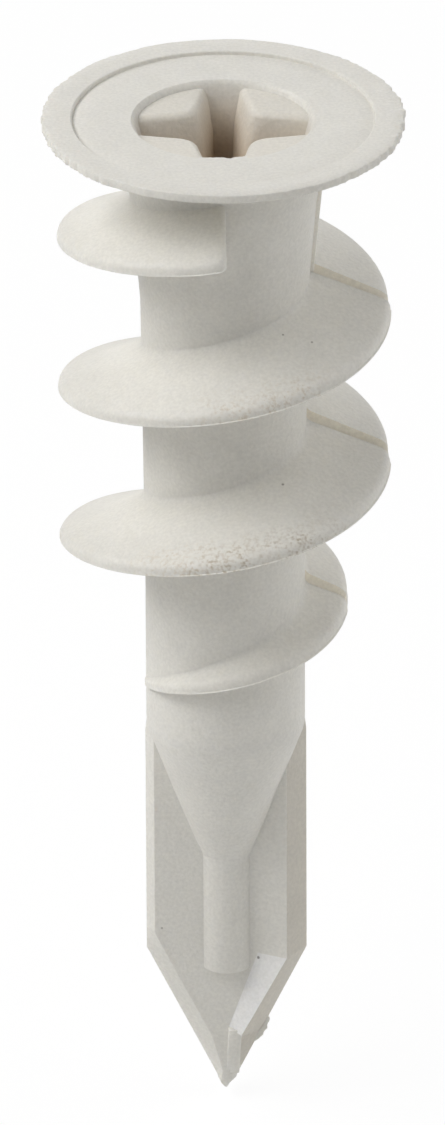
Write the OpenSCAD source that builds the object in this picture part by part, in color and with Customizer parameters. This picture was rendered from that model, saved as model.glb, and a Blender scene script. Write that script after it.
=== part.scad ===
// Self-drilling wall anchor for plasterboard, moulded in nylon.
// Origin at the centre of the flange's top face. +Z points out of the wall,
// and the mould parts on the plane y = 0.

/* [Flange] */
// Outside diameter of the flange
flange_d = 13.9; // [12:0.1:17]
// Thickness of the flange at its rim
rim_t = 0.35; // [0.25:0.05:0.6]
// Thickness of the flange where it bears on the wall
flange_t = 0.75; // [0.6:0.05:1.2]
// Width of the raised ring round the top face
ring_w = 1.13; // [0.6:0.05:1.6]
// Depth of the panel inside the raised ring
panel_depth = 0.12; // [0.05:0.01:0.2]
// Width of the thinned band under the flange's edge
rim_band_w = 1.6; // [1:0.1:2]

/* [Driver recess] */
// Diameter of the recess mouth
recess_d = 6.9; // [6.4:0.1:7.2]
// Diameter of the recess floor
recess_floor_d = 4.4; // [4:0.1:5]
// Depth of the recess below the flange face
recess_depth = 4.5; // [3.5:0.1:5.5]
// Drop from the panel to the tops of the four drive lugs
lug_drop = 0.25; // [0.1:0.05:0.6]
// Width of the cross slots at the tops of the lugs
slot_mouth_w = 1.9; // [1.6:0.05:2.2]
// Width of the cross slots where their walls turn upright
slot_floor_w = 0.86; // [0.7:0.02:1.1]
// Depth below the flange face where the slot walls turn upright
slot_taper_depth = 2.8; // [2:0.1:3.3]

/* [Shank] */
// Diameter of the screw bore
bore_d = 3.3; // [2.6:0.1:3.9]
// Depth of the screw bore below the flange face
bore_depth = 26.6; // [22:0.1:27]
// Length from the flange face to the lower end of the neck
neck_l = 7.7; // [6.5:0.1:9]
// How much the neck widens in radius from its lower end to the flange
neck_flare = 0.61; // [0.5:0.01:0.8]
// Radius of the fillet between the neck and the flange
neck_fillet_r = 0.5; // [0.2:0.05:0.8]
// Diameter of the lower barrel
barrel_d = 6.2; // [5.6:0.1:7.2]
// Length of the barrel below the neck
barrel_l = 18.2; // [15:0.1:22]
// How much the barrel grows in radius at the neck
barrel_growth = 0.13; // [0.05:0.01:0.2]
// Length over which the barrel grows towards the neck
barrel_growth_l = 12; // [8:0.5:14]

/* [Thread] */
// Outside diameter of the thread
thread_d = 12.84; // [11:0.02:15]
// Rise of the thread in one turn
thread_pitch = 6.43; // [5.5:0.01:7]
// Height of the flat crest along the thread's edge
crest_t = 0.42; // [0.3:0.02:0.6]
// Rise of the upper flank towards the barrel, per unit of radius
upper_flank = 0.42; // [0.3:0.01:0.5]
// Drop of the lower flank towards the barrel, per unit of radius
lower_flank = 0.1; // [0:0.01:0.2]
// Gap from the flange face down to the crest at the thread's top end
thread_start_drop = 3.1; // [2.6:0.1:3.6]
// Height of the step at the root where the two mould halves meet
parting_step = 0.3; // [0:0.05:0.5]

/* [Drill tip] */
// Length of the cone under the barrel
cone_l = 5.9; // [5:0.1:7]
// Diameter of the solid rod under the cone
rod_d = 2.12; // [1.6:0.02:2.4]
// Length of the rod
rod_l = 5.1; // [4:0.1:6]
// Thickness of the flat blade
blade_t = 1.1; // [0.8:0.05:1.25]
// How far the blade's edges stand proud of the barrel
blade_proud = 0.05; // [0:0.01:0.1]
// Straight length of the blade's edges below the barrel
blade_edge_l = 10.3; // [9.5:0.1:12]
// Angle between the point's edge and the axis
point_angle = 25.7; // [22:0.1:30]
// Radius of the rounded tip
tip_r = 0.25; // [0.15:0.05:0.4]
// Length of the point that carries the centring nibs
nib_l = 2.9; // [2.2:0.1:3.4]
// Width of a centring nib
nib_w = 0.5; // [0.3:0.05:0.7]
// Width of the sharpened bevel outside a cutting edge's ridge
bevel_w = 0.85; // [0.6:0.05:1.1]
// Distance from the axis to the inner foot of a cutting edge
land_foot_x = 1.1; // [1:0.05:1.4]
// Height of a cutting edge's ridge above the blade's middle plane
land_h = 0.75; // [0.65:0.05:1.2]
// Height of the ridge where the cutting edge meets the centring nib
land_end_h = 0.85; // [0.7:0.05:1.2]

/* [Hidden] */
$fn = 96;
// How far a cutting shape runs past what it cuts
cut = 0.5;
// How far in the blade's blunter edge is sharpened, as a share of half its thickness
edge_bevel = 0.6;
// How far the ridge's turn stands above the turn of the blade's edge
turn_lift = 0.15;
// Share of the cutting edge's end height that a nib starts with, and of the point that it runs down
nib_rise = 0.8;
nib_reach = 0.65;
flange_r = flange_d / 2;
ring_r = flange_r - ring_w;
bore_r = bore_d / 2;
barrel_r = barrel_d / 2;
thread_r = thread_d / 2;
rod_r = rod_d / 2;

// Heights along the axis, all below the flange face
lug_top = panel_depth + lug_drop;
barrel_end = neck_l + barrel_l;
cone_end = barrel_end + cone_l;
rod_end = cone_end + rod_l;
shoulder = barrel_end + blade_edge_l;

// Radii of the shank at the ends of its tapers
neck_low_r = barrel_r + barrel_growth;
neck_top_r = neck_low_r + neck_flare;

// Wall of the recess, a cone from its mouth to its floor
recess_slope = (recess_d - recess_floor_d) / 2 / (recess_depth - panel_depth);
function recess_r(depth) = recess_d / 2 - recess_slope * (depth - panel_depth);

// The blade's outline, and where its point would come to if it were sharp
blade_r = barrel_r + blade_proud;
point_slope = tan(point_angle);
sharp_tip = shoulder + blade_r / point_slope;
nib_top = sharp_tip - tip_r * (1 / sin(point_angle) - 1) - nib_l;
function edge_x(depth) = min(blade_r, (sharp_tip - depth) * point_slope);

ridge_x = blade_r - bevel_w;
half_t = blade_t / 2;

// The thread, as an angle in degrees that falls as it winds down
start_angle = 270;
taper_angle = -540;
end_angle = -900;
crest_base = -thread_start_drop - crest_t - thread_pitch * start_angle / 360;
thread_step = 7.5;
thread_core_r = (bore_r + barrel_r) / 2;
function crest_z(a) = crest_base + thread_pitch * a / 360;
function crest_r(a) =
    a > taper_angle ? thread_r : thread_r - (thread_r - barrel_r) * (taper_angle - a) / (taper_angle - end_angle);
function step_height(a, top) =
    let (back = (a % 360 + 360) % 360)
    (back == 0 ? (a == top ? 0 : 1) : back < 180 ? 1 - back / 180 : 0) * parting_step;

// A quarter arc from a flat underside into an upright wall
function fillet_points(r, wall_r, top) =
    [for (i = [0 : 8]) [wall_r + r - r * sin(i * 90 / 8), -top - r + r * cos(i * 90 / 8)]];

// Outside of the neck and the barrel as one solid of revolution
module shank_outside() {
    rotate_extrude()
        polygon(concat(
            [[0, -flange_t]],
            fillet_points(neck_fillet_r, neck_top_r, flange_t),
            [[neck_low_r, -neck_l],
             [barrel_r, -neck_l - barrel_growth_l],
             [barrel_r, -barrel_end],
             [0, -barrel_end]]));
}

module screw_bore() {
    translate([0, 0, -bore_depth])
        cylinder(r = bore_r, h = bore_depth + cut);
}

module recess_cone() {
    translate([0, 0, -recess_depth])
        cylinder(r1 = recess_floor_d / 2, r2 = recess_r(-cut), h = recess_depth + cut);
}

// Everything between two depths, for dividing the moulding into its regions
module slab(top, bottom) {
    translate([-flange_d, -flange_d, -bottom])
        cube([2 * flange_d, 2 * flange_d, bottom - top]);
}

// Flange: raised outer ring, sunk panel, and an underside thinned to the rim
module head_flange() {
    color("gainsboro")
    difference() {
        rotate_extrude()
            polygon([
                [0, -panel_depth],
                [ring_r, -panel_depth],
                [ring_r, 0],
                [flange_r, 0],
                [flange_r, -rim_t],
                [flange_r - rim_band_w, -flange_t],
                [0, -flange_t]]);
        recess_cone();
    }
}

// One of the two crossed slots that take the driver
module driver_slot() {
    rotate([90, 0, 0])
        linear_extrude(height = 2 * recess_d, center = true)
            polygon([
                [-slot_mouth_w / 2, -lug_top + cut],
                [-slot_mouth_w / 2, -lug_top],
                [-slot_floor_w / 2, -slot_taper_depth],
                [-slot_floor_w / 2, -recess_depth - cut],
                [slot_floor_w / 2, -recess_depth - cut],
                [slot_floor_w / 2, -slot_taper_depth],
                [slot_mouth_w / 2, -lug_top],
                [slot_mouth_w / 2, -lug_top + cut]]);
}

// Four lugs that fill the recess between the arms of the cross
module drive_lugs() {
    color("silver")
    difference() {
        intersection() {
            recess_cone();
            slab(lug_top, recess_depth);
        }
        driver_slot();
        rotate([0, 0, 90])
            driver_slot();
        screw_bore();
    }
}

module neck() {
    color("lightgrey")
    difference() {
        intersection() {
            shank_outside();
            slab(flange_t, neck_l);
        }
        recess_cone();
        screw_bore();
    }
}

module barrel() {
    color("gainsboro")
    difference() {
        intersection() {
            shank_outside();
            slab(neck_l, barrel_end);
        }
        screw_bore();
    }
}

// One section of the thread: lower root, lower crest, upper crest, upper root
function flight_section(a, top) =
    let (r = crest_r(a), z = crest_z(a), reach = r - thread_core_r, c = cos(a), s = sin(a))
    [[thread_core_r * c, thread_core_r * s, z - lower_flank * reach],
     [r * c, r * s, z],
     [r * c, r * s, z + crest_t],
     [thread_core_r * c, thread_core_r * s, z + crest_t + upper_flank * reach + step_height(a, top)]];

// The thread between two angles, seated on the outside of the shank
module flight(top, bottom) {
    turns = (top - bottom) / thread_step;
    rings = [for (i = [0 : turns]) top - i * thread_step];
    last = 4 * len(rings) - 4;
    sides = [for (i = [0 : len(rings) - 2]) for (k = [0 : 3])
        let (j = (k + 1) % 4)
        each [[4 * i + k, 4 * i + 4 + k, 4 * i + 4 + j], [4 * i + k, 4 * i + 4 + j, 4 * i + j]]];
    caps = [[0, 1, 2], [0, 2, 3], [last, last + 2, last + 1], [last, last + 3, last + 2]];
    difference() {
        polyhedron(points = [for (a = rings) each flight_section(a, top)], faces = concat(caps, sides));
        shank_outside();
    }
}

// Three quarters of a turn, from the blunt end at the front to the parting line
module upper_flight() {
    color("whitesmoke")
        flight(start_angle, 0);
}

module middle_flight() {
    color("whitesmoke")
        flight(0, -360);
}

module lower_flight() {
    color("whitesmoke")
        flight(-360, -720);
}

// Last half turn, where the thread runs out into the barrel
module flight_runout() {
    color("whitesmoke")
        flight(-720, end_angle);
}

module cone_solid() {
    translate([0, 0, -cone_end])
        cylinder(r1 = rod_r, r2 = barrel_r, h = cone_l);
}

module rod_solid() {
    translate([0, 0, -rod_end])
        cylinder(r = rod_r, h = rod_l);
}

module taper_cone() {
    color("lightgrey")
    difference() {
        cone_solid();
        screw_bore();
    }
}

module core_rod() {
    color("silver")
        rod_solid();
}

// Cross-section of the blade, its edges sharpened to the middle plane
module blade_section() {
    relief = bevel_w * half_t / land_h;
    polygon([
        [-blade_r, 0],
        [-blade_r + half_t * edge_bevel, -half_t],
        [blade_r - relief, -half_t],
        [blade_r, 0],
        [blade_r - half_t * edge_bevel, half_t],
        [-blade_r + relief, half_t]]);
}

// Outline of the blade from the front, with its rounded tip
module blade_outline() {
    tip_z = -sharp_tip + tip_r / sin(point_angle);
    flat_x = tip_r * cos(point_angle);
    flat_z = tip_z - tip_r * sin(point_angle);
    union() {
        polygon([
            [-blade_r, -barrel_end],
            [-blade_r, -shoulder],
            [-flat_x, flat_z],
            [flat_x, flat_z],
            [blade_r, -shoulder],
            [blade_r, -barrel_end]]);
        translate([0, tip_z])
            circle(r = tip_r);
    }
}

// The whole blade before it is divided and before the cutting edges are added
module blade_solid() {
    intersection() {
        translate([0, 0, -sharp_tip])
            linear_extrude(height = sharp_tip - barrel_end)
                blade_section();
        rotate([90, 0, 0])
            linear_extrude(height = blade_t, center = true)
                blade_outline();
    }
}

module blade_web() {
    color("silver")
    difference() {
        intersection() {
            blade_solid();
            slab(barrel_end, nib_top);
        }
        cone_solid();
        rod_solid();
    }
}

// Points of a cutting edge's section: inner foot, ridge, outer foot on the blade's face
function land_section(foot, ridge, height, edge, depth, lift) =
    [[foot, -half_t, -depth - lift],
     [ridge, -height, -depth + lift],
     [edge - (edge - ridge) * half_t / height, -half_t, -depth]];

// A low land on the blade's face that backs the sharpened edge and turns in along the point
module cutting_edge() {
    slant_l = nib_top - shoulder;
    end_edge = edge_x(nib_top);
    points = concat(
        land_section(land_foot_x, ridge_x, land_h, blade_r, barrel_end, 0),
        land_section(land_foot_x, ridge_x, land_h, blade_r, shoulder, turn_lift),
        land_section(nib_w / 4, ridge_x - slant_l * point_slope, land_end_h, end_edge, nib_top, 0));
    difference() {
        polyhedron(
            points = points,
            faces = [
                [0, 2, 1],
                [0, 1, 3], [3, 1, 4], [1, 2, 4], [4, 2, 5], [2, 0, 5], [5, 0, 3],
                [3, 4, 6], [6, 4, 7], [4, 5, 7], [7, 5, 8], [5, 3, 8], [8, 3, 6],
                [8, 6, 7]]);
        cone_solid();
        rod_solid();
    }
}

module front_cutting_edge() {
    color("gainsboro")
        cutting_edge();
}

module back_cutting_edge() {
    color("gainsboro")
    rotate([0, 0, 180])
        cutting_edge();
}

// A small wedge that stands on one face of the point and centres the hole
module nib() {
    rotate([0, 90, 0])
        linear_extrude(height = nib_w)
            polygon([
                [nib_top, -half_t],
                [nib_top, -land_end_h * nib_rise],
                [nib_top + nib_l * nib_reach, -half_t]]);
}

module drill_point() {
    color("lightgrey")
    union() {
        intersection() {
            blade_solid();
            slab(nib_top, sharp_tip);
        }
        nib();
        rotate([0, 0, 180])
            nib();
    }
}

head_flange();
drive_lugs();
neck();
barrel();
upper_flight();
middle_flight();
lower_flight();
flight_runout();
taper_cone();
core_rod();
blade_web();
front_cutting_edge();
back_cutting_edge();
drill_point();
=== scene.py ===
# A self-drilling wall anchor moulded in pale nylon, standing on its drill point.
# One moulding throughout: the pieces below are its regions, in the order that a
# driver and a wall meet them. Lengths are in millimetres until MM turns them into
# metres. Heights run below zero from the flange's face; a depth is the same distance
# counted as positive.
import math

import bpy
from mathutils import Matrix, Vector, noise


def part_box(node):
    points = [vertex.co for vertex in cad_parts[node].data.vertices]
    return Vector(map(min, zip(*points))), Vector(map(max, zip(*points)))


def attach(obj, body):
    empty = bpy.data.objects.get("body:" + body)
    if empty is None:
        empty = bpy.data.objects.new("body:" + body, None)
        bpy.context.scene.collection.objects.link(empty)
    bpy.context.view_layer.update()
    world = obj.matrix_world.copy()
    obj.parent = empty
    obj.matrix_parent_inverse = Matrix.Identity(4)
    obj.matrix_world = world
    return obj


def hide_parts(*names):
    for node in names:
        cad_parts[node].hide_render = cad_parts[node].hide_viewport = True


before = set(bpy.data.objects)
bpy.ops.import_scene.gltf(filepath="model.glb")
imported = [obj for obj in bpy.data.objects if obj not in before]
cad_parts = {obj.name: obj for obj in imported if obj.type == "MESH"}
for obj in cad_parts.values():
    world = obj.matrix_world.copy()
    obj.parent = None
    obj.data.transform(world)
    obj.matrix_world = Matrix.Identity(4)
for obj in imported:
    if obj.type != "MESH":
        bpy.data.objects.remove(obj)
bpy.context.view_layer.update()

# ---------------------------------------------------------------- Camera
# A long lens looks down on the anchor from the front, so that the flange's top,
# the flights' upper faces and the flat of the blade all show at once.
MM = 0.001
LOOK_DOWN = math.radians(27.24)
CAMERA_ROLL = math.radians(-0.25)
CAMERA_DISTANCE = 650 * MM
VIEW_HEIGHT = 43.684 * MM
SENSOR = 36
AIM_DEPTH = 18 * MM
AIM_RIGHT = -0.10 * MM
AIM_UP = -1.10 * MM

lens = bpy.data.cameras.new("studio_camera")
lens.sensor_width = SENSOR
lens.lens = CAMERA_DISTANCE / VIEW_HEIGHT * SENSOR
lens.clip_end = 10
camera = bpy.data.objects.new("studio_camera", lens)
bpy.context.scene.collection.objects.link(camera)
backwards = Vector((0, -math.cos(LOOK_DOWN), math.sin(LOOK_DOWN)))
rightwards = Vector((1, 0, 0))
upwards = Vector((0, math.sin(LOOK_DOWN), math.cos(LOOK_DOWN)))
aim = Vector((0, 0, -AIM_DEPTH)) + rightwards * AIM_RIGHT + upwards * AIM_UP
turn = Matrix((rightwards, upwards, backwards)).transposed().to_4x4()
camera.matrix_world = (
    Matrix.Translation(aim + backwards * CAMERA_DISTANCE)
    @ turn
    @ Matrix.Rotation(CAMERA_ROLL, 4, "Z")
)
bpy.context.scene.camera = camera
bpy.context.scene.view_settings.view_transform = "Standard"

# ---------------------------------------------------------------- Studio
# A sheet of pale paper under the anchor and a light tent round it, both lit so
# evenly that they burn out to white, and soft boxes outside the tent: the strongest
# on the anchor's left, weaker ones behind.
FLOOR_DROP = 0.3 * MM
FLOOR_SIZE = 6
FLOOR_COLOUR = (0.90, 0.90, 0.895, 1)
FLOOR_WHITE = 1.02
FLOOR_BURN = 0.9
TENT_GLOW = 0.02
LIGHT_SIZE = 0.30
LIGHT_REACH = 0.5
LIGHT_AIM = Vector((0, 0, -0.02))

tip_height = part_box("drill_point")[0].z
bpy.ops.object.select_all(action="DESELECT")
bpy.ops.mesh.primitive_plane_add(size=FLOOR_SIZE, location=(0, 0, tip_height - FLOOR_DROP))
floor = bpy.context.object
floor.name = "studio_floor"
paper = bpy.data.materials.new("white_paper")
paper.use_nodes = True
paper_nodes = paper.node_tree.nodes
paper_links = paper.node_tree.links
paper_shader = paper_nodes["Principled BSDF"]
paper_shader.inputs["Base Color"].default_value = FLOOR_COLOUR
paper_shader.inputs["Roughness"].default_value = 0.9
burnt = paper_nodes.new("ShaderNodeEmission")
burnt.inputs["Strength"].default_value = FLOOR_WHITE
seen = paper_nodes.new("ShaderNodeLightPath")
share = paper_nodes.new("ShaderNodeMath")
share.operation = "MULTIPLY"
share.inputs[1].default_value = FLOOR_BURN
paper_links.new(seen.outputs["Is Camera Ray"], share.inputs[0])
both = paper_nodes.new("ShaderNodeMixShader")
paper_links.new(share.outputs["Value"], both.inputs["Fac"])
paper_links.new(paper_shader.outputs["BSDF"], both.inputs[1])
paper_links.new(burnt.outputs["Emission"], both.inputs[2])
paper_links.new(both.outputs["Shader"], paper_nodes["Material Output"].inputs["Surface"])
floor.data.materials.append(paper)

sky = bpy.data.worlds.new("light_tent")
sky.use_nodes = True
tent_glow = sky.node_tree.nodes["Background"]
tent_glow.inputs["Strength"].default_value = TENT_GLOW
tent_white = sky.node_tree.nodes.new("ShaderNodeBackground")
tent_white.inputs["Strength"].default_value = FLOOR_WHITE
tent_seen = sky.node_tree.nodes.new("ShaderNodeLightPath")
tent_both = sky.node_tree.nodes.new("ShaderNodeMixShader")
for tent_side in (tent_glow, tent_white):
    tent_side.inputs["Color"].default_value = (1, 1, 1, 1)
sky.node_tree.links.new(tent_seen.outputs["Is Camera Ray"], tent_both.inputs["Fac"])
sky.node_tree.links.new(tent_glow.outputs["Background"], tent_both.inputs[1])
sky.node_tree.links.new(tent_white.outputs["Background"], tent_both.inputs[2])
sky.node_tree.links.new(
    tent_both.outputs["Shader"], sky.node_tree.nodes["World Output"].inputs["Surface"]
)
bpy.context.scene.world = sky


def soft_box(name, bearing, rise, power):
    """A square soft box: bearing runs from the front towards the right, rise above the horizon."""
    swing, tilt = math.radians(bearing), math.radians(rise)
    level = math.cos(tilt)
    towards = Vector((math.sin(swing) * level, -math.cos(swing) * level, math.sin(tilt)))
    lamp = bpy.data.lights.new(name, "AREA")
    lamp.energy = power
    lamp.size = LIGHT_SIZE
    stand = bpy.data.objects.new(name, lamp)
    stand.location = LIGHT_AIM + towards * LIGHT_REACH
    stand.rotation_euler = (-towards).to_track_quat("-Z", "Y").to_euler()
    stand.visible_camera = False
    bpy.context.scene.collection.objects.link(stand)


soft_box("left_box", 270, 45, 1.09)
soft_box("left_front_box", 290, 45, 0.45)
soft_box("front_left_box", 315, 45, 0.50)
soft_box("front_right_box", 45, 45, 0.20)
soft_box("low_front_right_box", 70, 10, 0.12)
soft_box("right_box", 90, 45, 0.56)
soft_box("low_right_box", 108, 4, 0.46)
soft_box("back_right_box", 148, 8, 0.32)
soft_box("back_box", 182, 12, 0.40)
soft_box("back_left_box", 225, 45, 0.26)

# ---------------------------------------------------------------- Head flange
# The thin round flange that stops against the wall: a raised ring round a sunk
# panel, thinned to its rim underneath. Pale moulded nylon, slightly matt from the
# etched mould, with a little flash left along the rim.
flange_low, flange_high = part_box("head_flange")
FLANGE_R = flange_high.x / MM
FLANGE_T = -flange_low.z / MM
RIM_T = 0.35
RIM_ROUND = 0.07
RING_W = 1.13
RING_STEP = 0.12
RIM_BAND = 1.6
NECK_FOOT_R = 4.34
RECESS_MOUTH_R = 3.45
RECESS_FLOOR_R = 2.2
RECESS_DEPTH = 4.5
RIM_FLASH = 0.05
FLASH_BAND = 0.3
GROOVE = 0.045
SEGMENTS = 180
FLANGE_SEGMENTS = 480
SMOOTH_ANGLE = math.radians(32)
NYLON = (0.785, 0.765, 0.71)
NYLON_ROUGHNESS = 0.50
NYLON_SPECULAR = 0.35
NYLON_TRANSLUCENCY = 0.2
NYLON_GLOW_DEPTH = 0.25
NYLON_GLOW = (1.0, 0.9, 0.7)
ETCH_STRENGTH = 0.5
ETCH_DEPTH = 0.03
SPECK_WARMTH = (1, 0.97, 0.93)
COLUMN = (1, 1, 0)
STAIN_INNER, STAIN_OUTER = 5.1, 6.3
# Painted shade and grime: the round recess and the bore under it darken to a warm brown with depth,
# inside a given radius and down to an end depth.
RECESS_SHADE_TOP, RECESS_SHADE_FULL, RECESS_SHADE_END = -0.28, -2.6, -4.6
RECESS_SHADE_R = 3.38
RECESS_SHADE_AND_GRIME_COLOUR = (0.66, 0.54, 0.43)


def nylon(name, tint, specks=(), stains=(), recess_shade_and_grime=False):
    """Matt moulded nylon: cloudy mottling, a fine etched grain, the dirt that it has picked up, and,
    where asked, painted shade and grime that darken the round recess with depth.

    A speck is (place, radius, darkness); a stain is (place, radius, soft edge, shade).
    """
    made = bpy.data.materials.new(name)
    made.use_nodes = True
    nodes, links = made.node_tree.nodes, made.node_tree.links
    shader = nodes["Principled BSDF"]
    shader.inputs["Roughness"].default_value = NYLON_ROUGHNESS
    shader.inputs["Specular IOR Level"].default_value = NYLON_SPECULAR
    shader.inputs["Subsurface Weight"].default_value = NYLON_TRANSLUCENCY
    shader.inputs["Subsurface Radius"].default_value = NYLON_GLOW
    shader.inputs["Subsurface Scale"].default_value = NYLON_GLOW_DEPTH * MM
    place = nodes.new("ShaderNodeTexCoord")
    centre = nodes.new("ShaderNodeMapping")
    links.new(place.outputs["Object"], centre.inputs["Vector"])
    where = centre.outputs["Vector"]

    def cloud(scale, detail, low, high, dark, light):
        """A noise field spread from dark to light."""
        field = nodes.new("ShaderNodeTexNoise")
        field.inputs["Scale"].default_value = scale
        field.inputs["Detail"].default_value = detail
        links.new(where, field.inputs["Vector"])
        spread = nodes.new("ShaderNodeMapRange")
        spread.inputs["From Min"].default_value = low
        spread.inputs["From Max"].default_value = high
        spread.inputs["To Min"].default_value = dark
        spread.inputs["To Max"].default_value = light
        links.new(field.outputs["Fac"], spread.inputs["Value"])
        return spread.outputs["Result"]

    def product(one, other):
        times = nodes.new("ShaderNodeMath")
        times.operation = "MULTIPLY"
        links.new(one, times.inputs[0])
        links.new(other, times.inputs[1])
        return times.outputs["Value"]

    def tinted(base, share, shade):
        """The base colour, multiplied by a shade where the share is high."""
        blend = nodes.new("ShaderNodeMix")
        blend.data_type = "RGBA"
        blend.blend_type = "MULTIPLY"
        links.new(share, blend.inputs["Factor"])
        links.new(base, blend.inputs[6])
        blend.inputs[7].default_value = (*shade, 1)
        return blend.outputs[2]

    def spot(centre_mm, radius_mm, soft_mm, squash=(1, 1, 1)):
        """One inside a round spot, fading out over its soft edge; a squash of 0 makes it a column."""
        offset = nodes.new("ShaderNodeVectorMath")
        offset.operation = "SUBTRACT"
        links.new(where, offset.inputs[0])
        offset.inputs[1].default_value = [c * MM for c in centre_mm]
        scaled = nodes.new("ShaderNodeVectorMath")
        scaled.operation = "MULTIPLY"
        links.new(offset.outputs["Vector"], scaled.inputs[0])
        scaled.inputs[1].default_value = squash
        length = nodes.new("ShaderNodeVectorMath")
        length.operation = "LENGTH"
        links.new(scaled.outputs["Vector"], length.inputs[0])
        fade = nodes.new("ShaderNodeMapRange")
        fade.inputs["From Min"].default_value = radius_mm * MM
        fade.inputs["From Max"].default_value = (radius_mm + soft_mm) * MM
        fade.inputs["To Min"].default_value = 1
        fade.inputs["To Max"].default_value = 0
        links.new(length.outputs["Value"], fade.inputs["Value"])
        return fade.outputs["Result"]

    def invert(share):
        rest = nodes.new("ShaderNodeMath")
        rest.operation = "SUBTRACT"
        rest.inputs[0].default_value = 1
        links.new(share, rest.inputs[1])
        return rest.outputs["Value"]

    mottle = product(cloud(700, 4, 0.3, 0.7, 0.975, 1.02), cloud(7500, 3, 0.3, 0.7, 0.945, 1.045))
    scale = nodes.new("ShaderNodeVectorMath")
    scale.operation = "SCALE"
    scale.inputs[0].default_value = tint
    links.new(mottle, scale.inputs["Scale"])
    colour = scale.outputs["Vector"]
    for at, radius, darkness in specks:
        brown = [darkness * share for share in SPECK_WARMTH]
        colour = tinted(colour, spot(at, radius, radius), brown)
    for at, radius, soft, shade in stains:
        inner = spot((0, 0, 0), STAIN_INNER, STAIN_OUTER - STAIN_INNER, COLUMN)
        rim = product(spot(at, radius, soft), invert(inner))
        patches = product(cloud(1900, 3, 0.36, 0.60, 0.15, 1), cloud(7000, 6, 0.46, 0.66, 0, 1))
        colour = tinted(colour, product(rim, patches), shade)
    # Painted shade and grime: a warm brown darkening inside the recess and bore, growing from just under
    # the flange face downwards.
    if recess_shade_and_grime:
        split = nodes.new("ShaderNodeSeparateXYZ")
        links.new(where, split.inputs["Vector"])
        deep = nodes.new("ShaderNodeMapRange")
        deep.inputs["From Min"].default_value = RECESS_SHADE_TOP * MM
        deep.inputs["From Max"].default_value = RECESS_SHADE_FULL * MM
        links.new(split.outputs["Z"], deep.inputs["Value"])
        above = nodes.new("ShaderNodeMath")
        above.operation = "GREATER_THAN"
        above.inputs[1].default_value = RECESS_SHADE_END * MM
        links.new(split.outputs["Z"], above.inputs[0])
        inside = product(spot((0, 0, 0), RECESS_SHADE_R, 0.02, COLUMN), above.outputs["Value"])
        colour = tinted(colour, product(inside, deep.outputs["Result"]), RECESS_SHADE_AND_GRIME_COLOUR)
    links.new(colour, shader.inputs["Base Color"])
    etch = cloud(5200, 4, 0.25, 0.75, 0, 1)
    bump = nodes.new("ShaderNodeBump")
    bump.inputs["Strength"].default_value = ETCH_STRENGTH
    bump.inputs["Distance"].default_value = ETCH_DEPTH * MM
    links.new(etch, bump.inputs["Height"])
    links.new(bump.outputs["Normal"], shader.inputs["Normal"])
    return made


def start_edit(piece):
    """Opens one piece for work on its edges, with nothing selected."""
    bpy.ops.object.select_all(action="DESELECT")
    bpy.context.view_layer.objects.active = piece
    piece.select_set(True)
    bpy.ops.object.mode_set(mode="EDIT")
    bpy.ops.mesh.select_mode(type="EDGE")
    bpy.ops.mesh.select_all(action="DESELECT")


def turned(name, outline, hollow, segments=SEGMENTS):
    """Turns an outline of (radius, height) points into a closed solid, a ring or one with flat ends."""
    bpy.ops.object.select_all(action="DESELECT")
    first_r, first_z = outline[0]
    bpy.ops.mesh.primitive_circle_add(
        vertices=segments, radius=first_r * MM, fill_type="NOTHING" if hollow else "NGON"
    )
    piece = bpy.context.object
    piece.name = name
    bpy.ops.object.mode_set(mode="EDIT")
    bpy.ops.mesh.select_mode(type="EDGE")
    bpy.ops.mesh.select_all(action="SELECT")
    bpy.ops.transform.translate(value=(0, 0, first_z * MM))
    if not hollow:
        bpy.ops.mesh.duplicate()
        bpy.ops.mesh.delete(type="ONLY_FACE")
        bpy.ops.mesh.select_all(action="DESELECT")
        bpy.ops.mesh.select_non_manifold(
            extend=False, use_wire=True, use_boundary=False, use_multi_face=False
        )
    for (r0, z0), (r1, z1) in zip(outline, outline[1:]):
        bpy.ops.mesh.extrude_region_move(TRANSFORM_OT_translate={"value": (0, 0, (z1 - z0) * MM)})
        bpy.ops.transform.resize(value=(r1 / r0, r1 / r0, 1), center_override=(0, 0, 0))
    if hollow:
        bpy.ops.mesh.select_all(action="DESELECT")
        bpy.ops.mesh.select_non_manifold()
        bpy.ops.mesh.bridge_edge_loops()
    else:
        bpy.ops.mesh.edge_face_add()
    close_up()
    return piece


def close_up():
    """Merges doubles, turns the faces outwards and settles the open piece at the origin."""
    bpy.ops.mesh.select_all(action="SELECT")
    bpy.ops.mesh.remove_doubles(threshold=0.0005 * MM)
    bpy.ops.mesh.normals_make_consistent(inside=False)
    bpy.ops.object.mode_set(mode="OBJECT")
    bpy.ops.object.transform_apply(location=True, rotation=True, scale=True)


def finish_piece(piece, material, slot_name, *nodes):
    """Smooths a piece, gives it its nylon, hangs it on the root body and hides the CAD nodes that it
    stands for.
    """
    bpy.ops.object.select_all(action="DESELECT")
    bpy.context.view_layer.objects.active = piece
    piece.select_set(True)
    bpy.ops.object.shade_smooth_by_angle(angle=SMOOTH_ANGLE)
    piece.data.materials.clear()
    piece.data.materials.append(material)
    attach(piece, "root")
    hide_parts(*nodes)


def recess_r(depth):
    """Radius of the round recess, which narrows evenly from its mouth to its floor."""
    share = (depth - RING_STEP) / (RECESS_DEPTH - RING_STEP)
    return RECESS_MOUTH_R - (RECESS_MOUTH_R - RECESS_FLOOR_R) * share


# Its recess and bore carry painted shade and grime.
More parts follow.
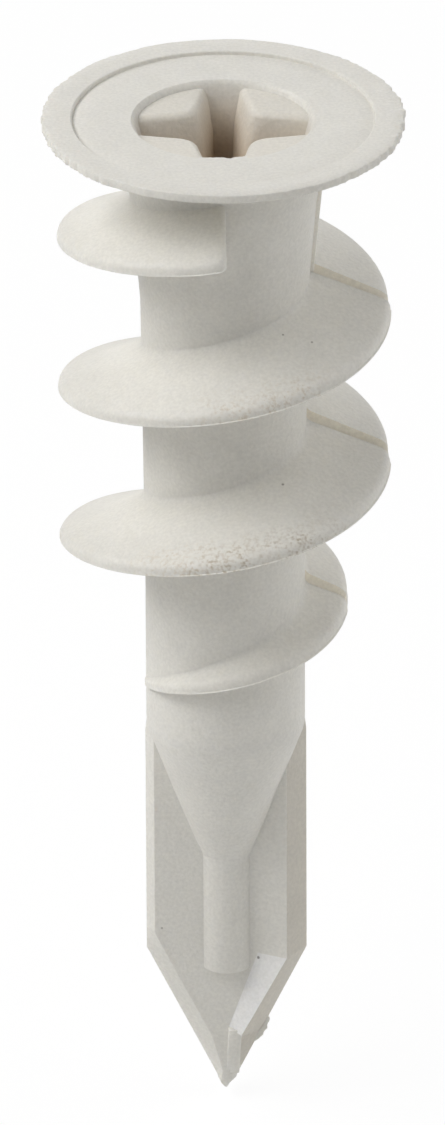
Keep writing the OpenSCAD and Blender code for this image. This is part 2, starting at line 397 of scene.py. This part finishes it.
body_nylon = nylon(
    "moulded_nylon",
    NYLON,
    specks=[((-0.66, -3.2, -6.39), 0.03, 0.55), ((0.07, -3.27, -5.93), 0.025, 0.65)],
    recess_shade_and_grime=True,
)
ring_r = FLANGE_R - RING_W
flange = turned(
    "head_flange_moulding",
    [
        (recess_r(FLANGE_T), -FLANGE_T),
        (recess_r(0.3), -0.3),
        (RECESS_MOUTH_R + 0.02, -RING_STEP - 0.06),
        (RECESS_MOUTH_R + 0.10, -RING_STEP),
        (ring_r - 0.9, -RING_STEP),
        (ring_r - 0.22, -RING_STEP),
        (ring_r - 0.08, -RING_STEP - GROOVE),
        (ring_r - 0.01, -RING_STEP - GROOVE + 0.01),
        (ring_r + 0.01, -0.03),
        (ring_r + 0.05, 0.0),
        (FLANGE_R - 0.5, 0),
        (FLANGE_R - RIM_ROUND, 0),
        (FLANGE_R - 0.02, -0.03),
        (FLANGE_R, -RIM_ROUND),
        (FLANGE_R, -RIM_T + 0.05),
        (FLANGE_R - 0.04, -RIM_T),
        (FLANGE_R - RIM_BAND / 2, -(RIM_T + FLANGE_T) / 2),
        (FLANGE_R - RIM_BAND, -FLANGE_T),
        (NECK_FOOT_R, -FLANGE_T),
    ],
    hollow=True,
    segments=FLANGE_SEGMENTS,
)

# The flash on the rim wavers, and is most ragged at the sides, where the mould parts.
for corner in flange.data.vertices:
    reach = math.hypot(corner.co.x, corner.co.y) / MM
    if reach > FLANGE_R - FLASH_BAND:
        around = Vector((corner.co.x, corner.co.y, 0)).normalized()
        ragged = 0.4 + 1.5 * abs(around.x) ** 3
        fine = noise.noise(around * 19) + 0.9 * noise.noise(around * 47)
        waver = noise.noise(around * 5) + ragged * fine
        corner.co += around * waver * RIM_FLASH * MM
finish_piece(flange, body_nylon, "moulded_nylon", "head_flange")

# ---------------------------------------------------------------- Drive lugs
# Four lugs stand in the recess and leave a cross between them for the driver.
# They are moulded with the neck, drafted towards the slots and rounded where the
# slots cross, so that the core pin drew out cleanly.
LUG_TOP = 0.37
LUG_ROOT = 0.30
LUG_CORNER = 0.55
LUG_EDGE = 0.24
LUG_EDGE_STEPS = 6
SLOT_MOUTH_HALF = 1.03
SLOT_FLOOR_HALF = 0.43
SLOT_LEAST_HALF = 0.36
SLOT_TAPER_DEPTH = 2.8
SLOT_MOUTH_REACH = 1.5
SLOT_SPLAY = math.tan(math.radians(11))
LUG_SIDE_DEPTHS = (RECESS_DEPTH, 3.6, SLOT_TAPER_DEPTH, 2.0, 1.3, 0.9)
# The lugs' nylon is a little darker and warmer than the rest: painted shade and grime in the recess.
RECESS_SHADED_GRIMY_NYLON = (0.78, 0.75, 0.68)

recess_nylon = nylon("recess_nylon", RECESS_SHADED_GRIMY_NYLON, recess_shade_and_grime=True)


def bend(start, corner, end, share):
    """A point part of the way round a corner, as a quadratic curve."""
    keep = 1 - share
    weights = (keep * keep, 2 * keep * share, share * share)
    return tuple(sum(w * c for w, c in zip(weights, coords)) for coords in zip(start, corner, end))


def lug_outline(depth, inset):
    """One lug's outline at a depth: in along one slot wall, round the corner, out along the other."""
    closing = min(1, (depth - LUG_TOP) / (SLOT_TAPER_DEPTH - LUG_TOP))
    half = SLOT_MOUTH_HALF + (SLOT_FLOOR_HALF - SLOT_MOUTH_HALF) * closing + inset
    outer = recess_r(depth) + LUG_ROOT

    def wall(reach):
        return max(half - SLOT_SPLAY * (reach - SLOT_MOUTH_REACH), SLOT_LEAST_HALF)

    corner = (half + SLOT_SPLAY * SLOT_MOUTH_REACH) / (1 + SLOT_SPLAY)
    round_off = LUG_CORNER * (1 - 0.5 * closing) + corner
    far = math.sqrt(outer**2 - wall(outer) ** 2)
    reaches = [far + (round_off - far) * i / 4 for i in range(5)]
    along = [(reach, wall(reach)) for reach in reaches]
    back = [(y, x) for x, y in reversed(along)]
    nose = [bend(along[-1], (corner, corner), back[0], i / 8) for i in range(1, 8)]
    first = math.atan2(back[-1][1], back[-1][0])
    last = math.atan2(along[0][1], along[0][0])
    sweep = [first + (last - first) * i / 12 for i in range(1, 12)]
    return along + nose + back + [(outer * math.cos(a), outer * math.sin(a)) for a in sweep]


def stacked(name, levels):
    """A closed solid through a stack of like outlines, drawn out one level after another."""
    bpy.ops.object.select_all(action="DESELECT")
    bpy.ops.mesh.primitive_circle_add(vertices=len(levels[0]), radius=MM, fill_type="NOTHING")
    piece = bpy.context.object
    piece.name = name
    for corner, spot in zip(piece.data.vertices, levels[0]):
        corner.co = Vector(spot) * MM
    for level in levels[1:]:
        newest = set(range(len(piece.data.vertices) - len(level), len(piece.data.vertices)))
        start_edit(piece)
        bpy.ops.object.mode_set(mode="OBJECT")
        for edge in piece.data.edges:
            edge.select = set(edge.vertices) <= newest
        bpy.ops.object.mode_set(mode="EDIT")
        bpy.ops.mesh.extrude_region_move()
        bpy.ops.object.mode_set(mode="OBJECT")
        for corner, spot in zip(list(piece.data.vertices)[-len(level):], level):
            corner.co = Vector(spot) * MM
    start_edit(piece)
    bpy.ops.mesh.select_non_manifold()
    bpy.ops.mesh.fill_holes(sides=0)
    close_up()
    return piece


lug_levels = []
for depth in LUG_SIDE_DEPTHS:
    lug_levels.append([(x, y, -depth) for x, y in lug_outline(depth, 0)])
for i in range(LUG_EDGE_STEPS + 1):
    lean = math.pi / 2 * i / LUG_EDGE_STEPS
    depth = LUG_TOP + LUG_EDGE * (1 - math.sin(lean))
    inset = LUG_EDGE * (1 - math.cos(lean))
    lug_levels.append([(x, y, -depth) for x, y in lug_outline(depth, inset)])
for quarter, side in enumerate(("back_right", "back_left", "front_left", "front_right")):
    lug = stacked("drive_lug_" + side, lug_levels)
    lug.data.transform(Matrix.Rotation(quarter * math.pi / 2, 4, "Z"))
    finish_piece(lug, recess_nylon, "recess_nylon", "drive_lugs")

# ---------------------------------------------------------------- Slot flash
# A ragged film of the same nylon at the front of the slot. It was squeezed out
# where the core pin met the flange, and never trimmed.
FLASH_HALF = 0.92
FLASH_STEPS = 26
FLASH_T = 0.05
FLASH_DEPTH = 0.20
FLASH_ROOT_DEPTH = 0.3
FLASH_ROOT = 0.12
FLASH_REACH = 0.10

bpy.ops.object.select_all(action="DESELECT")
bpy.ops.mesh.primitive_grid_add(x_subdivisions=FLASH_STEPS, y_subdivisions=1, size=MM)
film = bpy.context.object
film.name = "slot_flash"
for corner in film.data.vertices:
    across = corner.co.x / MM * 2 * FLASH_HALF
    tear = FLASH_REACH + 0.16 * abs(noise.noise(Vector((across * 3.1, 4.2, 0))))
    tear += 0.05 * noise.noise(Vector((across * 9, 0, 2)))
    outer = corner.co.y < 0
    edge_r = recess_r(FLASH_ROOT_DEPTH) + (FLASH_ROOT if outer else -tear)
    curl = 0.02 * math.sin(6 * across)
    corner.co = Vector((across, -math.sqrt(edge_r**2 - across**2), -FLASH_DEPTH - curl)) * MM
bpy.ops.object.modifier_add(type="SOLIDIFY")
film.modifiers[-1].thickness = FLASH_T * MM
film.modifiers[-1].offset = 0
bpy.ops.object.modifier_apply(modifier=film.modifiers[-1].name)
finish_piece(film, body_nylon, "moulded_nylon", "head_flange")

# ---------------------------------------------------------------- Neck
# The stout neck under the flange, hollow for the driver and the screw. It is moulded
# in one with the flange, which it meets through a small fillet, and carries a fine
# rib on its right where the two halves of the mould closed, painted pale as a highlight.
NECK_L = -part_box("neck")[0].z / MM
NECK_LOW_R = 3.23
NECK_TOP_R = 3.84
NECK_FILLET = 0.5
BORE_R = 1.65
SEAM_PROUD = 0.13
SEAM_WIDE = 0.24
SEAM_TOP, SEAM_FOOT = 1.15, 6.6
SEAM_EDGE = 0.05
# Near-white nylon for the seam rib: a painted highlight.
SEAM_HIGHLIGHT_NYLON = (0.97, 0.93, 0.85)
FILLET_STEPS = 6
NECK_TOP = 1.25
NECK_WAIST = 4.0
NECK_WAIST_IN = 0.3

fillet = [
    (
        NECK_TOP_R + NECK_FILLET * (1 - math.sin(math.pi / 2 * i / FILLET_STEPS)),
        -FLANGE_T - NECK_FILLET * (1 - math.cos(math.pi / 2 * i / FILLET_STEPS)),
    )
    for i in range(FILLET_STEPS + 1)
]
neck_outside = [(NECK_TOP_R - NECK_WAIST_IN, -NECK_WAIST), (NECK_LOW_R, -NECK_L)]
neck_inside = [
    (BORE_R, -NECK_L),
    (BORE_R, -RECESS_DEPTH),
    (RECESS_FLOOR_R, -RECESS_DEPTH),
    (recess_r(FLANGE_T), -FLANGE_T),
]
neck = turned("neck_moulding", fillet + neck_outside + neck_inside, hollow=True)
finish_piece(neck, body_nylon, "moulded_nylon", "neck")

bpy.ops.object.select_all(action="DESELECT")
bpy.ops.mesh.primitive_cube_add(size=MM)
seam = bpy.context.object
seam.name = "neck_parting_seam"
for corner in seam.data.vertices:
    depth = SEAM_TOP if corner.co.z > 0 else SEAM_FOOT
    wall = NECK_TOP_R - (NECK_TOP_R - NECK_LOW_R) * (depth - NECK_TOP) / (NECK_L - NECK_TOP)
    corner.co.x = (wall + (SEAM_PROUD if corner.co.x > 0 else -SEAM_WIDE)) * MM
    corner.co.y = math.copysign(SEAM_WIDE / 2 * MM, corner.co.y)
    corner.co.z = -depth * MM
bpy.ops.object.modifier_add(type="BEVEL")
seam.modifiers[-1].width = SEAM_EDGE * MM
seam.modifiers[-1].segments = 2
bpy.ops.object.modifier_apply(modifier=seam.modifiers[-1].name)
finish_piece(seam, nylon("seam_highlight_nylon", SEAM_HIGHLIGHT_NYLON), "moulded_nylon", "neck")

# ---------------------------------------------------------------- Barrel
# The straight tube that fills the hole in the board and holds the screw. It is
# moulded in one with the neck and tapers by a hair so that it leaves the mould.
BARREL_END = -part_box("barrel")[0].z / MM
BARREL_R = 3.1
TAPER_END = 19.7
TAPER_MIDDLE = 13.7


def shank_r(depth):
    """Outside radius of the shank at a depth below the flange face."""
    if depth < NECK_L:
        return NECK_TOP_R - (NECK_TOP_R - NECK_LOW_R) * (depth - NECK_TOP) / (NECK_L - NECK_TOP)
    if depth < TAPER_END:
        return NECK_LOW_R - (NECK_LOW_R - BARREL_R) * (depth - NECK_L) / (TAPER_END - NECK_L)
    return BARREL_R


barrel = turned(
    "barrel_moulding",
    [
        (BORE_R, -NECK_L),
        (NECK_LOW_R, -NECK_L),
        (shank_r(TAPER_MIDDLE), -TAPER_MIDDLE),
        (BARREL_R, -TAPER_END),
        (BARREL_R, -BARREL_END),
        (BORE_R, -BARREL_END),
    ],
    hollow=True,
)
finish_piece(barrel, body_nylon, "moulded_nylon", "barrel")

# ---------------------------------------------------------------- Thread flights
# The coarse thread that cuts its own way into plasterboard. Each flight is a thin
# nylon wing that thickens to a small fillet on the barrel; the two mould halves
# meet with a little step on the right-hand side of every turn, whose riser faces
# carry a painted highlight in pale yellow nylon.
PITCH = 6.43
THREAD_R = 6.42
CREST_T = 0.42
CREST_START = -8.3425
LOWER_SLOPE = 0.10
STEP_ROOT = 0.40
STEP_RIM = 0.25
RISER_DEG = 0.9
RISER_LEAN = 0.5
# Pale yellow nylon for the step's riser faces: a painted highlight.
RISER_HIGHLIGHT_NYLON = (0.97, 0.90, 0.77)
UPPER_SLOPE = 0.42
UPPER_SLOPE_EASE = 0.06
BACK_SHRINK = 0.05
BACK_SHRINK_AT = math.radians(40)
SMALL_WING = 0.8
SMALL_WING_RIM = 0.55
ROOT_FILLET = 0.25
ROOT_HIDDEN = 0.4
ROOT_SUNK = 0.05
RING_STEP_DEG = 3
START_RINGS_DEG = (0.1, 0.3, 0.7, 1.2, 1.8, 2.4)
START_DEG, TAPER_DEG, END_DEG = 271, -540, -900
END_ROUND = 0.42
FIN = 0.05
LIP = 0.26

flight_nylon = nylon(
    "flight_nylon",
    NYLON,
    specks=[
        ((2.26, -3.08, -7.84), 0.03, 0.5),
        ((3.37, -3.31, -8.04), 0.03, 0.55),
        ((-6.27, -2.7, -9.55), 0.035, 0.6),
        ((2.24, -3.1, -14.28), 0.035, 0.45),
        ((1.26, -6.4, -15.97), 0.035, 0.6),
    ],
    stains=[
        ((1.4, -6.2, -9.4), 1.6, 2.0, (0.82, 0.76, 0.69)),
        ((1.6, -5.7, -15.5), 1.2, 2.6, (0.60, 0.53, 0.45)),
        ((-1.6, -6.0, -15.9), 0.8, 2.4, (0.84, 0.77, 0.68)),
    ],
)
riser_highlight_nylon = nylon("riser_highlight_nylon", RISER_HIGHLIGHT_NYLON)


def crest_height(degrees):
    """Height of the thread's lower rim; it falls as the angle runs down from START_DEG to END_DEG."""
    return CREST_START + PITCH * degrees / 360


def crest_radius(degrees):
    """Radius of the rim: a hair less at the back, rounded off at the start, drawn in at the end."""
    radius = THREAD_R
    side = math.radians(degrees)
    radius -= BACK_SHRINK * (1 + math.cos(side - BACK_SHRINK_AT)) * (math.sin(side) > 0)
    if degrees < TAPER_DEG:
        radius -= (radius - BARREL_R) * (TAPER_DEG - degrees) / (TAPER_DEG - END_DEG)
    from_start = math.radians(START_DEG - degrees) * THREAD_R
    if from_start < END_ROUND:
        radius -= END_ROUND - math.sqrt(END_ROUND**2 - (END_ROUND - from_start) ** 2)
    return radius


def flight_section(degrees):
    """The flight's outline at one angle, hidden foot to hidden foot, as (radius, height)."""
    side = math.radians(degrees)
    outer = crest_radius(degrees)
    low = crest_height(degrees)
    turned_by = degrees % 360
    half_step = 0
    if turned_by < 180:
        half_step = min(1 - turned_by / 180, turned_by / RISER_DEG)
    foot = shank_r(-low - 0.3)
    wing = max(outer - foot, 0.02)
    small = min(1, wing / SMALL_WING)
    fillet = ROOT_FILLET * small
    upper_slope = UPPER_SLOPE - UPPER_SLOPE_EASE * max(0, math.cos(side) ** 3) * (math.sin(side) < 0)
    rim = CREST_T * (SMALL_WING_RIM + (1 - SMALL_WING_RIM) * small)

    def under(radius):
        return low - LOWER_SLOPE * (outer - radius)

    def over(radius):
        inward = (outer - radius) / wing
        step = (STEP_RIM + (STEP_ROOT - STEP_RIM) * inward) * half_step * small
        return low + rim + upper_slope * (outer - radius) + step

    soft = min(0.05, rim / 4)
    lip = LIP * small + 0.03
    fin = FIN * max(0.15, math.sin(side + math.radians(135)))
    sunk, toe, middle, brow = foot - 0.01, foot + fillet, foot + 0.5 * wing, outer - 1.3 * lip
    foot_low, foot_high = under(foot) - fillet, over(foot) + fillet
    below = [(sunk, foot_low), (foot, under(foot)), (toe, under(toe))]
    above = [(toe, over(toe)), (foot, over(foot)), (sunk, foot_high)]
    lip_foot = max(over(outer) - lip, low + 1.2 * soft)
    upper_lip = [(outer, lip_foot), (outer, over(outer)), (brow, over(brow))]
    points = [(foot - ROOT_HIDDEN, foot_low - ROOT_SUNK), (foot - 0.04, foot_low - ROOT_SUNK)]
    points += [bend(*below, i / 4) for i in range(5)]
    points += [(middle, under(middle)), (outer - soft, under(outer - soft))]
    points += [(outer + fin, low), (outer + fin, low + 0.3 * soft), (outer, low + soft)]
    points += [bend(*upper_lip, i / 5) for i in range(6)]
    points += [(middle, over(middle))]
    points += [bend(*above, i / 4) for i in range(5)]
    points += [(foot - 0.04, foot_high + ROOT_SUNK), (foot - ROOT_HIDDEN, foot_high + ROOT_SUNK)]
    return points


def flight(name, top_degrees, bottom_degrees, node):
    """A section screwed round the barrel, then let out ring by ring to its true outline."""
    steps = round((top_degrees - bottom_degrees) / RING_STEP_DEG)
    rings = [top_degrees + (bottom_degrees - top_degrees) * i / steps for i in range(steps + 1)]
    if top_degrees == START_DEG:
        rings[1:1] = [top_degrees - step for step in START_RINGS_DEG]
    if bottom_degrees % 360 == 0:
        rings[-1:-1] = [bottom_degrees + RISER_DEG, bottom_degrees + RISER_DEG / 2]
    section = flight_section(top_degrees)
    bpy.ops.object.select_all(action="DESELECT")
    bpy.ops.mesh.primitive_circle_add(vertices=len(section), radius=MM)
    piece = bpy.context.object
    piece.name = name
    bpy.ops.object.modifier_add(type="SCREW")
    sweep = piece.modifiers[-1]
    sweep.angle = math.radians(bottom_degrees - top_degrees)
    sweep.screw_offset = crest_height(bottom_degrees) * MM - crest_height(top_degrees) * MM
    sweep.steps = sweep.render_steps = len(rings) - 1
    sweep.use_smooth_shade = False
    bpy.ops.object.modifier_apply(modifier=sweep.name)
    for ring, degrees in enumerate(rings):
        side = math.radians(degrees)
        for i, (radius, height) in enumerate(flight_section(degrees)):
            corner = piece.data.vertices[ring * len(section) + i]
            corner.co = Vector((radius * math.cos(side), radius * math.sin(side), height)) * MM
    start_edit(piece)
    bpy.ops.mesh.select_non_manifold()
    bpy.ops.mesh.fill_holes(sides=0)
    close_up()
    finish_piece(piece, flight_nylon, "flight_nylon", node)
    # The riser faces take the pale yellow nylon as a painted highlight.
    piece.data.materials.append(riser_highlight_nylon)
    for face in piece.data.polygons:
        side = math.atan2(face.center.y, face.center.x)
        along = abs(face.normal.y * math.cos(side) - face.normal.x * math.sin(side))
        if along > RISER_LEAN and 0 < side < math.radians(RISER_DEG):
            face.material_index = 1


flight("upper_flight_wing", START_DEG, 0, "upper_flight")
flight("middle_flight_wing", 0, -360, "middle_flight")
flight("lower_flight_wing", -360, -720, "lower_flight")
flight("runout_wing", -720, END_DEG, "flight_runout")

# ---------------------------------------------------------------- Taper and core rod
# Under the barrel the moulding draws in along a cone, which closes the bore, to a
# plain round rod. Both are the same shot of nylon as the barrel and run into the
# blade; the rod stiffens it and ends part of the way down.
CONE_END = -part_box("taper_cone")[0].z / MM
ROD_END = -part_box("core_rod")[0].z / MM
ROD_R = 1.06
BORE_END = 26.6
BORE_CENTRE_R = 0.4

# The cone's flank as steps (inwards, down) from the barrel's end, then (out, up) from the rod's top.
CONE_SHOULDER = ((0, 0), (0.015, 0.2), (0.06, 0.4), (0.13, 0.6), (0.21, 0.8), (1.0, 3.05))
CONE_FOOT = ((0.24, 0.62), (0.10, 0.3), (0, 0))
ROD_FOOT = ((0, 0.1), (0.03, 0.03), (0.1, 0))

bore_floor = [(BORE_CENTRE_R, -BORE_END), (BORE_R, -BORE_END), (BORE_R, -BARREL_END)]
shoulder = [(BARREL_R - inwards, -BARREL_END - down) for inwards, down in CONE_SHOULDER]
cone_foot = [(ROD_R + out, -CONE_END + up) for out, up in CONE_FOOT]
cone = turned("taper_cone_moulding", bore_floor + shoulder + cone_foot, hollow=False)
finish_piece(cone, body_nylon, "moulded_nylon", "taper_cone")

rod_foot = [(ROD_R - inwards, -ROD_END + up) for inwards, up in ROD_FOOT]
rod = turned("core_rod_moulding", [(ROD_R, -CONE_END)] + rod_foot, hollow=False)
finish_piece(rod, body_nylon, "moulded_nylon", "core_rod")

# ---------------------------------------------------------------- Blade and drill point
# The flat blade that bores the hole, one piece of nylon with the cone and the rod.
# Each face is sharpened along its right-hand edge, outside a low ridge that turns in
# along the point; the bevel is painted darker as shade, and the slanted face inside
# the ridge along the point is painted paler as a highlight.
POINT_TIP = -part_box("drill_point")[0].z / MM
BLADE_HALF = 3.15
WEB_HALF = 0.55
SHOULDER = 36.2
POINT_SLOPE = math.tan(math.radians(25.7))
SHARP_TIP = SHOULDER + BLADE_HALF / POINT_SLOPE
NIB_TOP = 39.6
NIB_END = 41.5
BLUNT_BEVEL = 0.33
BLUNT_BEVEL_SLANT = 0.76
BLUNT_TURN = 35.3
BEVEL_W = 0.79
LAND_FOOT = 1.1
RIDGE_H = 0.86
RIDGE_TURN_H = 1.06
RIDGE_END_H = 1.12
BLADE_START_HALF = 3.08
NIB_LEFT, NIB_RIGHT = 0.06, 0.58
TIP_ROUND = 0.3
TIP_WORN = 0.19
TIP_HALF = (SHARP_TIP - POINT_TIP + TIP_WORN + TIP_ROUND) * POINT_SLOPE
WORN_TIP = POINT_TIP - TIP_WORN
BLADE_EDGE_ROUND = 0.05
BLADE_CREASE = math.radians(8)
BEVEL_LEAN, LAND_LEAN = 0.4, -0.1
# Darker nylon for the right-hand bevels as painted shade, paler nylon for the ridge's slanted face as a
# painted highlight.
BEVEL_SHADE_NYLON = (0.66, 0.625, 0.555)
LAND_HIGHLIGHT_NYLON = (0.89, 0.88, 0.86)
LAND_SPECK = ((1.25, -0.58, -36.4), 0.04, 0.35)

blade_nylon = nylon("blade_nylon", NYLON, specks=[((-2.54, -0.55, -35.09), 0.03, 0.6), LAND_SPECK])
bevel_shade_nylon = nylon("cutting_edge_shade_nylon", BEVEL_SHADE_NYLON)
land_highlight_nylon = nylon("painted_highlight_land_nylon", LAND_HIGHLIGHT_NYLON, specks=[LAND_SPECK])


def blade_edge(depth):
    """Half the blade's width at a depth; the tip itself is blunt and rounded."""
    if depth <= BARREL_END:
        return BLADE_START_HALF
    above_tip = WORN_TIP - depth
    if above_tip < TIP_ROUND:
        return TIP_HALF * max(0.12, 1 - (1 - above_tip / TIP_ROUND) ** 2) ** 0.35
    return min(BLADE_HALF, (SHARP_TIP - depth) * POINT_SLOPE)


def blade_ring(depth, blunt, foot, ridge, height):
    """A blade section: blunt edge, its bevel's foot, the land's foot, the ridge, and all turned over."""
    edge = blade_edge(depth)
    front = [(-edge, 0), (-edge + blunt, -WEB_HALF), (foot, -WEB_HALF), (ridge, -height)]
    whole = front + [(-x, -y) for x, y in front]
    return [(x, y, -depth) for x, y in whole]


straight = BLADE_HALF - BEVEL_W
rings = [
    blade_ring(BARREL_END, BLUNT_BEVEL, LAND_FOOT, straight, RIDGE_H),
    blade_ring(BARREL_END + 0.6, BLUNT_BEVEL, LAND_FOOT, straight, RIDGE_H),
    blade_ring(BLUNT_TURN, BLUNT_BEVEL, LAND_FOOT, straight, RIDGE_H),
    blade_ring(SHOULDER, BLUNT_BEVEL_SLANT, LAND_FOOT + 0.14, straight, RIDGE_TURN_H),
    blade_ring(NIB_TOP, BLUNT_BEVEL_SLANT, NIB_LEFT, NIB_RIGHT, RIDGE_END_H),
    blade_ring(NIB_TOP + 0.35, BLUNT_BEVEL_SLANT, NIB_LEFT, NIB_RIGHT, WEB_HALF + 0.05),
    blade_ring(NIB_END, 0.42, 0.03, 0.10, WEB_HALF),
    blade_ring(WORN_TIP - TIP_ROUND, 0.14, 0, 0.22, WEB_HALF * 0.75),
    blade_ring(WORN_TIP - TIP_ROUND / 2, 0.14, 0, 0.18, WEB_HALF * 0.60),
    blade_ring(WORN_TIP - TIP_ROUND / 8, 0.12, 0, 0.12, WEB_HALF * 0.40),
    blade_ring(WORN_TIP, 0.10, 0, 0.08, WEB_HALF * 0.25),
]
blade = stacked("cutting_blade", rings)
bpy.ops.object.modifier_add(type="BEVEL")
blade.modifiers[-1].width = BLADE_EDGE_ROUND * MM
blade.modifiers[-1].segments = 3
blade.modifiers[-1].angle_limit = BLADE_CREASE
bpy.ops.object.modifier_apply(modifier=blade.modifiers[-1].name)
blade_nodes = ("blade_web", "front_cutting_edge", "back_cutting_edge", "drill_point")
finish_piece(blade, blade_nylon, "blade_nylon", *blade_nodes)
blade.data.materials.append(bevel_shade_nylon)
blade.data.materials.append(land_highlight_nylon)
# Faces leaning right take the darker nylon as painted shade; left-leaning faces of the ridge below the
# shoulder take the paler nylon as a painted highlight.
for face in blade.data.polygons:
    front = -math.copysign(1, face.normal.y)
    lean = face.normal.x * front
    if lean > BEVEL_LEAN and face.center.z > -NIB_END * MM:
        face.material_index = 1
    if lean < LAND_LEAN and face.center.x * front > 0 and face.center.z < -SHOULDER * MM:
        face.material_index = 2

# ---------------------------------------------------------------- Centring nibs
# A small wedge on each face of the point, moulded with the blade where the ridge
# ends. It keeps the point from wandering as it starts the hole.
NIB_PROUD = 0.92
NIB_FOOT = 0.40
NIB_LEAN = 0.10
NIB_EDGE = 0.06
NIB_LAP_TOP, NIB_LAP_END = 0.1, 0.15
NIB_SUNK = 0.04

for side in (0, 1):
    bpy.ops.object.select_all(action="DESELECT")
    bpy.ops.mesh.primitive_cube_add(size=MM)
    nib = bpy.context.object
    nib.name = ("front", "back")[side] + "_centring_nib"
    for corner in nib.data.vertices:
        upper = corner.co.z > 0
        outer = corner.co.y < 0
        across = NIB_RIGHT if corner.co.x > 0 else NIB_LEFT
        proud = NIB_PROUD if upper else WEB_HALF - NIB_SUNK
        depth = NIB_TOP - NIB_LAP_TOP if upper else NIB_END + NIB_LAP_END
        corner.co.x = (across if upper else across - NIB_LEAN) * MM
        corner.co.y = -(proud if outer else NIB_FOOT) * MM
        corner.co.z = -depth * MM
    nib.data.transform(Matrix.Rotation(math.pi * side, 4, "Z"))
    bpy.ops.object.modifier_add(type="BEVEL")
    nib.modifiers[-1].width = NIB_EDGE * MM
    nib.modifiers[-1].segments = 2
    bpy.ops.object.modifier_apply(modifier=nib.modifiers[-1].name)
    finish_piece(nib, blade_nylon, "blade_nylon", "drill_point")

# ---------------------------------------------------------------- Burr
# A ragged scrap of nylon flash on the right-hand edge of the point. It was squeezed
# out between the halves of the mould, and clings there until the anchor is used.
BURR_TOP, BURR_FOOT = 39.35, 40.45
BURR_PROUD = 0.24
BURR_THICK = 0.10
BURR_ROOT = 0.12
BURR_STEPS = 11

bpy.ops.object.select_all(action="DESELECT")
bpy.ops.mesh.primitive_grid_add(x_subdivisions=1, y_subdivisions=BURR_STEPS, size=MM)
burr = bpy.context.object
burr.name = "point_burr"
for corner in burr.data.vertices:
    down = 0.5 - corner.co.y / MM
    depth = BURR_TOP + (BURR_FOOT - BURR_TOP) * down
    ragged = 0.55 + 0.8 * abs(noise.noise(Vector((9.7, down * 7.3, 0))))
    swell = max(0, math.sin(math.pi * down)) ** 0.6 * ragged
    reach = blade_edge(depth) + (BURR_PROUD * swell if corner.co.x > 0 else -BURR_ROOT)
    corner.co = Vector((reach, 0.02 * math.sin(9 * down), -depth)) * MM
bpy.ops.object.modifier_add(type="SOLIDIFY")
burr.modifiers[-1].thickness = BURR_THICK * MM
burr.modifiers[-1].offset = 0
bpy.ops.object.modifier_apply(modifier=burr.modifiers[-1].name)
finish_piece(burr, blade_nylon, "blade_nylon", "drill_point")

bpy.context.view_layer.update()
